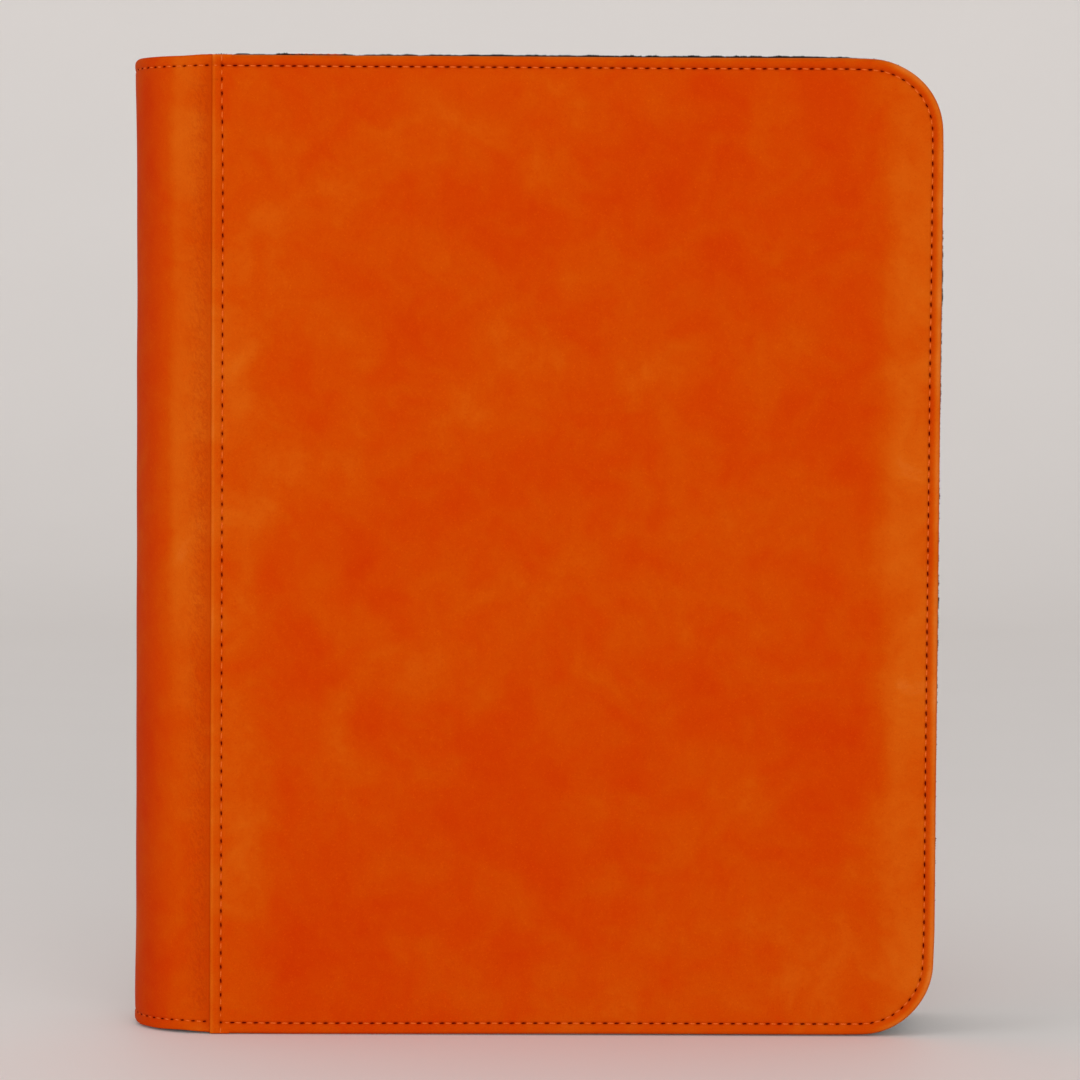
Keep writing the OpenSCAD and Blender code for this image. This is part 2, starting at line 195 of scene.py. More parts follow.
def make(name, verts, faces, mats, body=None, slot=None, stands_for=(), indices=None, tones=None,
         mirror=False, closed=False):
    """A mesh object from points in millimetres, whose x counts from the hinge line. A closed mesh
    gets its faces turned outwards and its sharp edges marked."""
    pts = np.array(verts, float)
    pts[:, 0] += HX
    if mirror:
        pts[:, 1] *= -1
        faces = [f[::-1] for f in faces]
    mesh = smooth_mesh(name, (pts * MM).tolist(), faces, *(mats if isinstance(mats, list) else [mats]))
    if indices is not None:
        mesh.polygons.foreach_set("material_index", np.asarray(indices, np.int32))
    for key, values in (tones or {}).items():
        mesh.attributes.new(key, "FLOAT", "POINT").data.foreach_set(
            "value", np.asarray(values, np.float32))
    mesh.update()
    ob = link(name, mesh)
    if body:
        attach(ob, body)
    if stands_for:
        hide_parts(*stands_for)
    if closed:
        bm = bmesh.new()
        bm.from_mesh(mesh)
        bmesh.ops.recalc_face_normals(bm, faces=bm.faces)
        bm.to_mesh(mesh)
        bm.free()
        mesh.set_sharp_from_angle(angle=math.radians(50))
    return ob


# ---- the covers' U-shaped edge
RUN = W - CORNER
ARC = CORNER * math.pi / 2
RISE = H - 2 * CORNER
# the lengths along the edge where the fore-edge starts and ends, where the upper run starts, and the whole
RIGHT, FORE_END, TOP = RUN + ARC, RUN + ARC + RISE, RUN + 2 * ARC + RISE
EDGE_LEN = 2 * RUN + 2 * ARC + RISE
LOW_CORNER, HIGH_CORNER = RUN + ARC / 2, RUN + 1.5 * ARC + RISE  # the middles of the corners


def edge_point(s, inset):
    """x, z and outward normal at length s along a cover's edge, moved in by inset. s starts at
    the lower end of the hinge line and ends at its upper end."""
    s, inset = np.broadcast_arrays(np.asarray(s, float), np.asarray(inset, float))
    parts = [s < RUN, s < RIGHT, s < FORE_END, s < TOP]
    low, high, zero = (s - RUN) / CORNER - math.pi / 2, (s - FORE_END) / CORNER, 0 * s
    nx = np.select(parts, [zero, np.cos(low), zero + 1, np.cos(high)], zero)
    nz = np.select(parts, [zero - 1, np.sin(low), zero, np.sin(high)], zero + 1)
    x = np.select(parts, [s, RUN + CORNER * nx, zero + W, RUN + CORNER * nx], EDGE_LEN - s)
    z = np.select(parts, [zero, CORNER + CORNER * nz, CORNER + (s - RIGHT), H - CORNER + CORNER * nz],
                  zero + H)
    return x - nx * inset, z - nz * inset, nx, nz


def even_steps(inset, s0, s1, step):
    """Values of s from s0 to s1 that are evenly spaced along the line at that inset."""
    dense = np.linspace(s0, s1, 8001)
    x, z, _, _ = edge_point(dense, inset)
    length = np.concatenate([[0], np.cumsum(np.hypot(np.diff(x), np.diff(z)))])
    count = max(1, round(length[-1] / step))
    return np.interp(np.linspace(0, length[-1], count + 1), length, dense)


EDGE_HOLES = even_steps(STITCH_IN, HINGE_STITCH, EDGE_LEN - HINGE_STITCH, PITCH)
hinge_count = round((H - 2 * STITCH_IN) / HINGE_PITCH)
HINGE_HOLES = np.concatenate([[-0.9], np.linspace(STITCH_IN, H - STITCH_IN, hinge_count + 1), [H + 0.9]])


def hinge_line(z):
    """The hinge stitches' distance from the cover's hinge edge: they lean inwards at the top."""
    return HINGE_STITCH - LEFT - 0.55 * ease(H - 52, H, z)


# how far the sewn edge has been drawn in (or out, below 0), at lengths along it
DRAWN = np.array([
    (0, 0.05), (30, -0.10), (60, -0.02), (100, 0.15), (140, 0.28), (RUN, 0.28), (RUN + 14, 0.1),
    (RIGHT, 0.1), (RIGHT + 12, -0.14), (RIGHT + 60, -0.05), (RIGHT + 220, -0.10), (RIGHT + 242, -0.22),
    (FORE_END - 8, -0.27), (FORE_END + 2, -0.08), (TOP - 12, -0.06), (TOP, -0.12),
    (EDGE_LEN - 228, -0.26), (EDGE_LEN - 205, -0.13), (EDGE_LEN - 170, 0.03), (EDGE_LEN - 80, 0.09),
    (EDGE_LEN - 50, 0.21), (EDGE_LEN, 0.19)])


def wander(s):
    """How far a sewn cover's edge has been drawn in."""
    return 0.55 * bell(s - LOW_CORNER, 17) + 0.30 * bell(s - (TOP - 12), 12) \
        + np.interp(s, DRAWN[:, 0], DRAWN[:, 1])


def panel_point(s, inset):
    """A point of the cover's leather at length s along its edge, moved in by inset."""
    x, z, nx, nz = edge_point(s, inset)
    return x - nx * wander(s), z - nz * wander(s), nx, nz


def nearest(values, stops):
    """Signed distance from each value to the nearest stop."""
    values = np.asarray(values, float)
    i = np.clip(np.searchsorted(stops, values), 1, len(stops) - 1)
    low, high = values - stops[i - 1], values - stops[i]
    return np.where(np.abs(low) < np.abs(high), low, high)


sway, sway2 = Waves(95), Waves(34)


def relief(x, z, d, side, s=NO_HOLE):
    """Height of a cover's leather above its plane, and how near a needle hole each point is. d is
    the distance from the cover's edge and s the length along it."""
    e = x - LEFT
    stitched, hinged = ease(3.0, 4.0, e), ease(0.2, 1.2, d)
    line = e - hinge_line(z)
    h = 0.45 * (1 - np.exp(-np.clip(d - 4, 0, None) / 5)) * (1 - np.exp(-np.clip(e - 4, 0, None) / 5))
    h += 0.13 * mound(d, 0.4, 3.3) * ease(0.3, 2, e) + 0.15 * mound(e, 0.2, 3.6) * ease(0.3, 2, d)
    h -= 0.30 * bell(d - STITCH_IN, 0.5) * stitched + 0.26 * bell(line, 0.5) * hinged
    hole = bell(nearest(s, EDGE_HOLES), 0.8) * bell(d - STITCH_IN, 0.5) * stitched
    hole = np.maximum(hole, bell(nearest(z, HINGE_HOLES), 0.85) * bell(line, 0.42) * hinged)
    h -= 0.30 * hole
    h += (0.07 * sway(x, z + 500 * side) + 0.03 * sway2(x, z + 300 * side)) * ease(4, 14, d) \
        * ease(4, 14, e)
    return h, hole


HINGE_STEPS = np.array([0, 0.04, 0.12, 0.25, 0.42, 0.62, 0.9, 1.3, 1.8, 2.3, 2.8, 3.15, 3.4, 3.6, 3.8,
                        4.0, 4.2, 4.4, 4.6, 4.9, 5.3, 5.8, 6.4, 6.9, 7.3, 7.8, 8.3]) + LEFT
RINGS = np.array([1.75, 2.1, 2.5, 2.9, 3.2, 3.45, 3.65, 3.82, 4.0, 4.18, 4.35, 4.55, 4.8, 5.2, 5.8,
                  6.6, 7.7, BORDER])


def worn_and_lit(x, z, d, e):
    """How much paler the leather is, from wear and painted highlight: along the fore-edge, the rim and the hinge
    fold, with painted highlights on the upper rim and the fold's ridge.
    """
    fore, upper = ease(26, 14, W - x), ease(H - 14, H - 6, z)
    # painted highlights: the upper term lights the upper rim, the bell 0.75 mm from the fold lights its ridge; the
    # fore-edge band and the rim are partly wear, partly painted highlight
    return fore * (1.15 - 0.9 * bell(d - 3.0, 0.9) + 1.0 * bell(d - 0.9, 1.0)) + 0.35 * np.exp(-d / 2.0) \
        + upper * 1.9 * np.exp(-d / 0.6) + 0.7 * np.exp(-e / 2.6) + 0.72 * bell(e - 0.75, 0.5) \
        + 0.45 * bell(e - 11, 9)


def shaded(x, z, d):
    """How much darker the strip outside the stitches is where it dips towards them."""
    lit = np.maximum(ease(H - 14, H - 6, z), ease(14, 6, W - x))
    return 0.26 * lit * ease(1.6, 3.5, d) * ease(4.3, 3.9, d)


def cover_thickness(x):
    """Thickness of a wrapped cover, which is thinner where no board lies in the fold."""
    return PANEL_T - (PANEL_T - (FACE - SPINE_R)) * (1 - ease(BOARD_X - 1.0, BOARD_X - 0.1, x))


def interior(loop_xz, x0):
    """Points inside the border and the triangles that join them to it: (points, triangles)."""
    pts = [tuple(p) for p in loop_xz]
    n = len(pts)
    for off, step in ((1.1, 1.2), (2.8, 2.2), (5.4, 3.4), (9.2, 4.6)):
        d = BORDER + off
        x, z, _, _ = edge_point(even_steps(d, x0 + off, EDGE_LEN - x0 - off, step), d)
        pts += zip(x.tolist(), z.tolist())
        count = int((H - 2 * d) / step)
        pts += [(x0 + off, float(z)) for z in np.linspace(d, H - d, count + 1)[1:-1]]
    for x in np.arange(x0 + off + 3, W - d - 2, 5.0):
        for z in np.arange(d + 3, H - d - 2, 5.0):
            dx, dz = x - RUN, max(CORNER - z, z - (H - CORNER))
            if dx > 0 and dz > 0 and math.hypot(dx, dz) > CORNER - d - 2:
                continue
            pts.append((float(x), float(z)))
    edges = [(i, (i + 1) % n) for i in range(n)]
    _, _, tris, orig, _, _ = delaunay_2d_cdt([Vector(p) for p in pts], edges, [], 1, 1e-6, True)
    return np.array(pts[n:]), np.array([[orig[i][0] for i in t] for t in tris])


def panel(side, mats):
    """A cover's leather, wrapped round its board and folded at the hinge edge."""
    x0 = HINGE_STEPS[-1]
    s_run = even_steps(STITCH_IN, x0, EDGE_LEN - x0, PITCH / 8)
    s = np.concatenate([HINGE_STEPS[:-1], s_run, EDGE_LEN - HINGE_STEPS[-2::-1]])
    ns = len(s)
    thick = cover_thickness(np.minimum(s, EDGE_LEN - s))
    r1, r2 = np.minimum(1.4, thick * 0.5), np.minimum(0.9, thick * 0.42)  # the rim's outer and inner radius
    # inset and depth below the outer plane, from the back inwards round the edge
    rows = [(np.maximum(3.2, r2 + 1), thick), (r2 + 0.6, thick)]
    for a in np.radians([0, 30, 60, 90]):
        rows.append((r2 * (1 - np.sin(a)), thick - r2 * (1 - np.cos(a))))
    for a in np.radians([90, 72, 54, 36, 18, 0]):
        rows.append((r1 * (1 - np.sin(a)), r1 * (1 - np.cos(a))))
    rows += [(np.full(ns, d), 0 * thick) for d in RINGS]
    verts, plan = [], []
    # tones: nearness to needle holes (darkened with painted shade), paleness from wear and painted highlight under
    # "edge", and painted shade
    tones = {"hole": [], "edge": [], "shade": []}

    def add(x, y, z, *values):
        verts.append(points(x, y, z))
        for tone, value in zip(tones.values(), values):
            tone.append(np.ravel(value))

    for d, depth in rows:
        plan.append(points(*edge_point(s, d)[:2]))
        x, z, _, _ = panel_point(s, d)
        h, hole = relief(x, z, d, side, s)
        front = ease(0.9, 0.0, depth / r1)
        e = np.clip(x - LEFT, 0, None)
        y = -FACE + depth - h * front + fold(e, FOLD_R) * np.clip(1 - depth / thick, 0, 1)
        add(x, y, z, hole * front, worn_and_lit(x, z, d, e), shaded(x, z, d) * front)
    faces = grid_faces(len(rows), ns)
    # the hinge strip, between the border's first columns
    cols, base = len(HINGE_STEPS), len(rows) * ns
    last = base - ns  # the border's innermost ring
    marks = [BORDER, *(z for z in HINGE_HOLES if BORDER < z < H - BORDER), H - BORDER]
    zrow = np.unique(np.round(np.concatenate([np.linspace(a, b, 9) for a, b in zip(marks, marks[1:])]), 4))
    gx, gz = np.meshgrid(HINGE_STEPS, zrow[1:-1])
    d = np.minimum(gz, H - gz)
    h, hole = relief(gx, gz, d, side)
    plan.append(points(gx, gz))
    add(gx, -FACE - h + fold(gx - LEFT, FOLD_R), gz, hole, worn_and_lit(gx, gz, d, gx - LEFT), 0 * gx)
    table = np.vstack([np.arange(last, last + cols), base + np.arange(gx.size).reshape(gx.shape),
                       np.arange(base - 1, base - 1 - cols, -1)])
    quads = points(table[:-1, :-1], table[1:, :-1], table[1:, 1:], table[:-1, 1:])
    faces += quads[:, ::-1].tolist()
    # the middle, triangulated to the border and the hinge strip
    loop = np.concatenate([np.arange(last + cols - 1, base - cols + 1), table[-2:0:-1, -1]])
    inner, tris = interior(np.round(np.concatenate(plan)[loop], 6), x0)
    x, z = inner.T
    above = np.maximum(CORNER - z, z - (H - CORNER))  # how far into the height of a rounded corner
    corner = np.hypot(np.clip(x - RUN, 0, None), np.clip(above, 0, None))
    d = np.minimum(np.minimum(W - x, np.minimum(z, H - z)),
                   np.where((x > RUN) & (above > 0), CORNER - corner, 1e3))
    add(x, -FACE - relief(x, z, d, side)[0], z, 0 * x, worn_and_lit(x, z, d, x - LEFT), 0 * x)
    tris = np.concatenate([loop, base + gx.size + np.arange(len(inner))])[tris]
    faces += tris.tolist()
    # the back, a flat copy of the middle, joined to the border's first row
    flat = np.concatenate(verts)[last:]
    copy = last + len(flat)
    shift = copy - last
    add(flat[:, 0], cover_thickness(flat[:, 0]) - FACE, flat[:, 2], *np.zeros((3, len(flat))))
    faces += (quads + shift).tolist() + (tris[:, ::-1] + shift).tolist()
    faces += [[i + 1, i, copy + i, copy + i + 1] for i in range(ns - 1)]
    # the folded hinge edge closes the side next to the spine
    edge = table[:, 0].tolist()
    faces += [[a, b, b + shift, a + shift] for a, b in zip(edge, edge[1:])]
    faces += [[*range(0, base, ns), copy], [*range(base - 1, 0, -ns), copy + ns - 1]]
    name = SIDES[side]
    make(f"{name}_panel", np.concatenate(verts), faces, mats, f"{name}_cover", "orange_leather",
         (f"{name}_cover_leather",), tones={k: np.concatenate(v) for k, v in tones.items()},
         mirror=side, closed=True)


# ---- sewing
def across(p, q, n):
    """Unit vector across a stitch from p to q, in the plane with normal n."""
    return np.cross((q - p) / np.linalg.norm(q - p), n)


def stitches(name, centres, along, out, mats, rise=0.10, radius=THREAD_R, hole=(0.78, 0.43),
             slant=0.0, trim=0, **rest):
    """Thread between needle holes. centres are the holes, along the line's direction at each,
    and out the leather's outward normal there. slant tips each stitch and each hole. The first
    and last trim centres are ends without a hole."""
    sides, steps, rim, end_depth = 6, 7, 12, 0.32
    verts, faces, idx = [], [], []
    for p, q, n in zip(centres, centres[1:], out[:-1] + out[1:]):
        n = n / np.linalg.norm(n)
        w = across(p, q, n)
        p, q = p - w * slant, q + w * slant
        w = across(p, q, n)
        faces += tube_faces(steps, sides, len(verts), caps=-1)
        lift, fat = rise * rng.uniform(0.7, 1.15), radius * rng.uniform(0.9, 1.08)
        for t in np.linspace(0.25, 0.75, steps):
            swell = math.sin(math.pi * (t - 0.19) / 0.62)
            c = p + (q - p) * t + n * (lift * swell ** 0.6 - end_depth * (1 - swell ** 0.6))
            r = fat * (0.5 + 0.5 * swell ** 0.45)
            for a in np.linspace(0, 2 * math.pi, sides, endpoint=False):
                verts.append(c + r * (math.cos(a) * w * 1.1 + math.sin(a) * n))
    idx += [0] * len(faces)
    # a dark disc at each needle hole, coloured with painted shade
    if hole:
        tip = 3.2 * slant
        for c, a, n in list(zip(centres, along, out))[trim:len(centres) - trim]:
            w = np.cross(a, n)
            a, w = a * math.cos(tip) + w * math.sin(tip), w * math.cos(tip) - a * math.sin(tip)
            big = rng.uniform(0.86, 1.12)
            start = len(verts)
            for size, depth in ((1.0, 0.09), (0.6, 0.0)):
                for t in np.linspace(0, 2 * math.pi, rim, endpoint=False):
                    verts.append(c + big * size * (hole[0] * math.cos(t) * a + hole[1] * math.sin(t) * w)
                                 + n * depth)
            faces += grid_faces(2, rim, start, close_cols=True)
            faces.append(list(range(start + rim, start + 2 * rim)))
        idx += [1] * (len(faces) - len(idx))
    make(name, verts, faces, mats, indices=idx, **rest)


def cover_stitches(side, mats):
    """The thread along a cover's edge and along its hinge."""
    s = np.concatenate([[-0.1], EDGE_HOLES, [EDGE_LEN + 0.1]])  # and one stitch across the hinge fold
    x, z, nx, nz = panel_point(s, STITCH_IN)
    edge = (x, z, relief(x, z, STITCH_IN, side, s)[0], points(-nz, 0, nx))
    z = HINGE_HOLES
    x = LEFT + hinge_line(z)
    hinge = (x, z, relief(x, z, np.minimum(z, H - z), side)[0], points(0 * z, 0, 1))
    for tag, (x, z, h, along), size in (("edge", edge, (0.98, 0.54)), ("hinge", hinge, (1.05, 0.42))):
        stitches(f"{SIDES[side]}_{tag}_stitches", points(x, -FACE - h - SUNK, z), along,
                 points(0 * x, -1, 0), mats, hole=size, slant=0.14, trim=1, body=f"{SIDES[side]}_cover",
                 slot="sewing_thread", stands_for=(f"{SIDES[side]}_seam_thread",), mirror=side)


# ---- the spine's leather
ARC_LEN = SPINE_R * math.pi / 2
HINGE_T = ARC_LEN + SPINE_FLAT  # the hinge's place along the spine's outside, from its middle


def end_squeeze(t, z):
    """How far the spine's ends are drawn in, at t from its middle. The lower end stands a little
    above the covers."""
    t, z = np.broadcast_arrays(t, z)
    return 0.12 + ease(12, 0, t) + 0.45 * ease(ARC_LEN, ARC_LEN * 0.75, t) \
        + 0.38 * ease(ARC_LEN * 0.5, ARC_LEN * 0.85, t) * (z < H / 2)


def flare(t, z):
    """How far the spine's rounded leather stands out to the left, most of all at its ends."""
    return (0.15 + 1.2 * np.exp(-(H - z) / 18) + 0.75 * np.exp(-z / 14)) \
        * ease(ARC_LEN * 0.8, ARC_LEN * 0.1, t)


def spine_point(t, r):
    """x, y and outward normal at t along the outside of the spine, from its middle to the front
    cover's hinge and on under the panel, for a surface at distance r from its axis."""
    t, r = np.broadcast_arrays(np.asarray(t, float), np.asarray(r, float))
    a = np.clip(t / SPINE_R, 0, math.pi / 2)
    nx, ny = -np.cos(a), -np.sin(a)
    return -SPINE_FLAT + nx * r + np.clip(t - ARC_LEN, 0, None), ny * r, nx, ny


crease, crease2 = Waves(9), Waves(3.2)
SPINE_T = np.concatenate([np.linspace(0, ARC_LEN, 80), np.linspace(ARC_LEN, HINGE_T + 7.5, 22)[1:]])
SPINE_FIRST = HINGE_T - 1.6  # the needle hole beside the hinge
SPINE_HOLES = np.linspace(-SPINE_FIRST, SPINE_FIRST, round(2 * SPINE_FIRST / PITCH) + 1)
Z_ENDS = np.array([0, 0.12, 0.3, 0.55, 0.85, 1.2, 1.7, 2.2, 2.7, 3.1, 3.4, 3.6, 3.8, 4.0, 4.2, 4.4,
                   4.7, 5.1, 5.7, 6.5, 7.6, 9.0])


def spine_height(t, z, side):
    """How far the spine's leather stands out, and how near a needle hole and a crease it is."""
    x = t - HINGE_T
    d = np.minimum(z, H - z)
    bare = 1 - ease(-0.6, 0.2, x)  # 0 under the panel
    h = 0.35 * ease(-2, -22, x) * ease(0, 12, d)
    h += (0.10 * mound(d, 0.4, 3.3) - 0.26 * bell(d - STITCH_IN, 0.5)) * bare
    hole = bell(nearest(-t if side else t, SPINE_HOLES), 0.6) * bell(d - STITCH_IN, 0.5) * bare
    h -= 0.28 * hole
    near = bell(x + 3.2, 4.6) * ease(-0.5, -1.3, x) * ease(3, 12, d)
    h += near * (0.03 * crease(x * 1.6 - z * 0.35, z * 0.6 + 70 * side)
                 + 0.02 * crease2(x * 1.2 - z * 0.3, z * 0.5 + 70 * side))
    h += 0.06 * sway2(x * 1.2, z * 0.7 + 90 * side) * ease(4, 20, d) * bare
    return h, hole, near


def spine_half(side, mats):
    """Half of the spine's leather, with the edge that lies under the cover."""
    zs = np.concatenate([Z_ENDS, np.linspace(9, H - 9, 150)[1:-1], H - Z_ENDS[::-1]])
    tt, zz = np.meshgrid(SPINE_T, zs)
    h, hole, near = spine_height(tt, zz, side)
    to_hinge, d = tt - HINGE_T, np.minimum(zz, H - zz)
    squeeze = np.where(zz < H / 2, 1, -1) * end_squeeze(tt, zz)
    z = zz + squeeze * ease(9, 0, d)
    xo, yo, _, _ = spine_point(tt, SPINE_R + h - fold(d, 0.75))
    flange = 1.45 * ease(8.2, 6.8, d) * ease(-0.6, -2.5, to_hinge)  # turned in at the ends
    skived = TAB_T * (1 - 0.5 * bell(to_hinge + 0.5, 1.1))  # thinner where it bends
    xi, yi, _, _ = spine_point(tt, SPINE_R - skived - flange + fold(d, 0.5))
    verts = np.concatenate([points(xo - flare(tt, zz), yo, z), points(xi, yi, z)])
    x, _, _, _ = spine_point(tt, SPINE_R)
    # paler at the ends and within 9 mm of the spine's middle, less pale about 22 mm before the hinge, and a
    # painted highlight from about 12 mm before the hinge on, weaker beside the hinge and towards the bottom
    pale_and_highlight = 0.4 * np.exp(-d / 2.2) + 0.7 * ease(9, 0, tt) - 0.8 * bell(x + 22.5, 5) \
        + 0.95 * ease(-16.5, -11.5, x) * (1 - 0.3 * ease(-6, -1, x)) \
        * (0.35 + 0.65 * ease(90, 200, zz))
    shade = 0.42 * np.exp(np.clip(to_hinge, None, 0) / 2.6) * ease(0, 3, d)
    # the "edge" tone carries paleness with its painted highlight; near needle holes and in creases the colour gets
    # painted shade, and "shade" is painted shade beside the hinge
    tones = {key: np.concatenate([outside.ravel(), np.zeros(outside.size)])
             for key, outside in (("hole", hole), ("edge", pale_and_highlight), ("crease", near), ("shade", shade))}
    name = SIDES[side]
    ob = make(f"spine_skin_{name}", verts, shell_faces(*tt.shape), mats, None, "orange_leather",
              ("spine_leather", f"{name}_hinge_tab"), tones=tones, mirror=side, closed=True)
    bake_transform(ob)


def spine_stitches(mats):
    """The thread across the spine's two ends."""
    t, front = np.abs(SPINE_HOLES), np.where(SPINE_HOLES < 0, -1.0, 1.0)
    for tag, z, inwards in (("lower", STITCH_IN, 1), ("upper", H - STITCH_IN, -1)):
        x, y, nx, ny = spine_point(t, SPINE_R + spine_height(t, z, 0)[0] + SUNK)
        zz = z + inwards * end_squeeze(t, z) * ease(9, 0, STITCH_IN)
        stitches(f"spine_stitches_{tag}", points(x - flare(t, z), y * front, zz),
                 points(-ny * front, nx, 0), points(nx, ny * front, 0), mats, slant=0.2, hole=(1.0, 0.5),
                 body="spine", slot="sewing_thread", stands_for=("spine_seam_thread",))


def spine_layer(name, node, thick, x_end, z_in, mats, slot):
    """A layer bonded inside the spine's leather, from one hinge round to the other."""
    r_out = -mm_box(node)[0][1]
    t = np.linspace(-HINGE_T - x_end, HINGE_T + x_end, 97)
    low, high = z_in, H - z_in
    zs = np.concatenate([[low, low + 0.2], np.linspace(low + 3, high - 3, 24), [high - 0.2, high]])
    skins = []
    for r in (r_out, r_out - thick):
        x, y, _, _ = spine_point(np.abs(t), r)
        skins.append(points(x, np.sign(t) * -y, zs[:, None]))
    make(name, np.concatenate(skins), shell_faces(len(zs), len(t)), mats, "spine", slot, (node,),
         closed=True)


# ---- bands swept along the covers' edge
def band(side, piece, part, s, insets, ys, mats, slot):
    """Sweeps a closed outline along the edge. insets and ys have a row for each of its points."""
    x, z, _, _ = edge_point(s[None, :], insets)
    verts = points(x.T, np.broadcast_to(ys, x.shape).T, np.maximum(z, ABOVE_TABLE).T)
    name = SIDES[side]
    make(f"{name}_{piece}", verts, tube_faces(len(s), len(x)), mats, f"{name}_cover", slot,
         (f"{name}_{part}",), mirror=side, closed=True)


def band_box(side, part):
    """Inset of a band from the covers' edge, its farther and nearer y, and the x where it starts."""
    low, high = mm_box(f"{SIDES[side]}_{part}")
    far, near = sorted((abs(low[1]), abs(high[1])), reverse=True)
    return W - (high[0] - HX), far, near, low[0] - HX


def rounded(corners, round_by, steps=3):
    """A small polygon with its corners rounded."""
    pts = np.asarray(corners, float)
    out = []
    for a, p, b in zip(np.roll(pts, 1, 0), pts, np.roll(pts, -1, 0)):
        va, vb = a - p, b - p
        la, lb = np.linalg.norm(va), np.linalg.norm(vb)
        r = min(round_by, la * 0.45, lb * 0.45)
        p0, p1 = p + va / la * r, p + vb / lb * r
        for t in np.linspace(0, 1, steps):
            out.append((1 - t) ** 2 * p0 + 2 * t * (1 - t) * p + t * t * p1)
    return np.array(out)


def gusset(side, mats):
    """The cloth between a cover and its zip tape, which bulges slightly."""
    inset, far, near, left = band_box(side, "gusset")
    tape_in = band_box(side, "zip_tape")[0]
    s = even_steps(inset, left, EDGE_LEN - left, 2.2)
    u = np.linspace(0, 1, 9)[:, None]
    bulge = 0.55 * mound(u, 0, 0.8) ** 1.2
    wave = 1 + 0.25 * np.sin(s / 17.0) + 0.2 * np.sin(s / 7.3 + 1)
    outer = inset - bulge * wave
    inner = np.maximum(tape_in - np.where(u < 0.6, 0.6 * bulge, 0)[::-1], outer[::-1] + 0.5)
    y = -(far + (near - far) * u)
    band(side, "gusset_cloth", "gusset", s, np.concatenate([outer, inner]), np.concatenate([y, y[::-1]]),
         mats, "black_gusset_cloth")


def piping(side, mats):
    """The gusset's rolled edge with woven ribs. It carries on past the hinge line for a little way."""
    rib, past = 0.9, 2.0
    low, high = mm_box(f"{SIDES[side]}_gusset_piping")
    s = even_steps(0, -past, EDGE_LEN + past, rib / 4)
    stands_out = high[2] - H
    radius = stands_out + 0.4
    uneven = Waves(7.0, 5)(s, 0 * s) * 0.10 + Waves(2.3, 5)(s, 0 * s) * 0.07 + Waves(40, 5)(s, 0 * s) * 0.10
    inset = radius - stands_out + wander(s) + 1.5 * uneven - 0.14 * bell(s - (EDGE_LEN - 178), 60) \
        + 0.9 * np.maximum(bell(s - LOW_CORNER, ARC * 0.8), bell(s - HIGH_CORNER, ARC * 0.8)) \
        + 0.30 * ease(300, 0, s) + 0.18 * bell(s - (EDGE_LEN - 12), 9) \
        + 0.14 * ease(TOP - 10, TOP, s) + 0.27 * ease(EDGE_LEN - 100, EDGE_LEN - 45, s) \
        + 0.50 * ease(FORE_END + 20, FORE_END - 20, s) * ease(RIGHT - 20, RIGHT + 20, s)
    groove = np.where(np.arange(len(s)) % 4 < 2, 0.0, 0.26)  # between two ribs
    taper = 0.45 + 0.55 * ease(-2.2, 2.2, np.minimum(s, EDGE_LEN - s))
    a = np.linspace(0, 2 * math.pi, 12, endpoint=False)[:, None]
    r = (radius - 0.05 - groove * (0.6 + 0.4 * np.cos(a))) * taper
    y = radius - max(abs(low[1]), abs(high[1]))
    band(side, "piping", "gusset_piping", s, inset - r * np.cos(a), y + r * np.sin(a), mats,
         "black_gusset_cloth")


def tape(side, mats):
    """The zip's tape, with the lip that its teeth are sewn to."""
    inset, far, near, _ = band_box(side, "zip_tape")
    left = band_box(side, "gusset")[3]
    thick, lip = 0.8, 0.12
    outline = rounded([(inset + 0.02, -far), (inset + 0.02, -near - 0.9), (inset - lip, -near - 0.45),
                       (inset - 0.05, -near), (inset + thick, -near), (inset + thick, -far)], 0.2)
    band(side, "tape", "zip_tape", even_steps(inset, left, EDGE_LEN - left, 2.2), outline[:, :1],
         outline[:, 1:], mats, "zip_tape")


def band_seam(side, mats):
    """The seam that joins gusset and tape, in black thread on the gusset."""
    inset, _, near, left = band_box(side, "gusset")
    x, z, nx, nz = edge_point(even_steps(inset, left + 2, EDGE_LEN - left - 2, 3.4), inset - 0.04)
    stitches(f"{SIDES[side]}_band_stitches", points(x, -near - 1.6, z), points(-nz, 0, nx),
             points(nx, 0, nz), mats, rise=0.12, radius=0.22, hole=None, body=f"{SIDES[side]}_cover",
             slot="black_gusset_cloth", mirror=side)


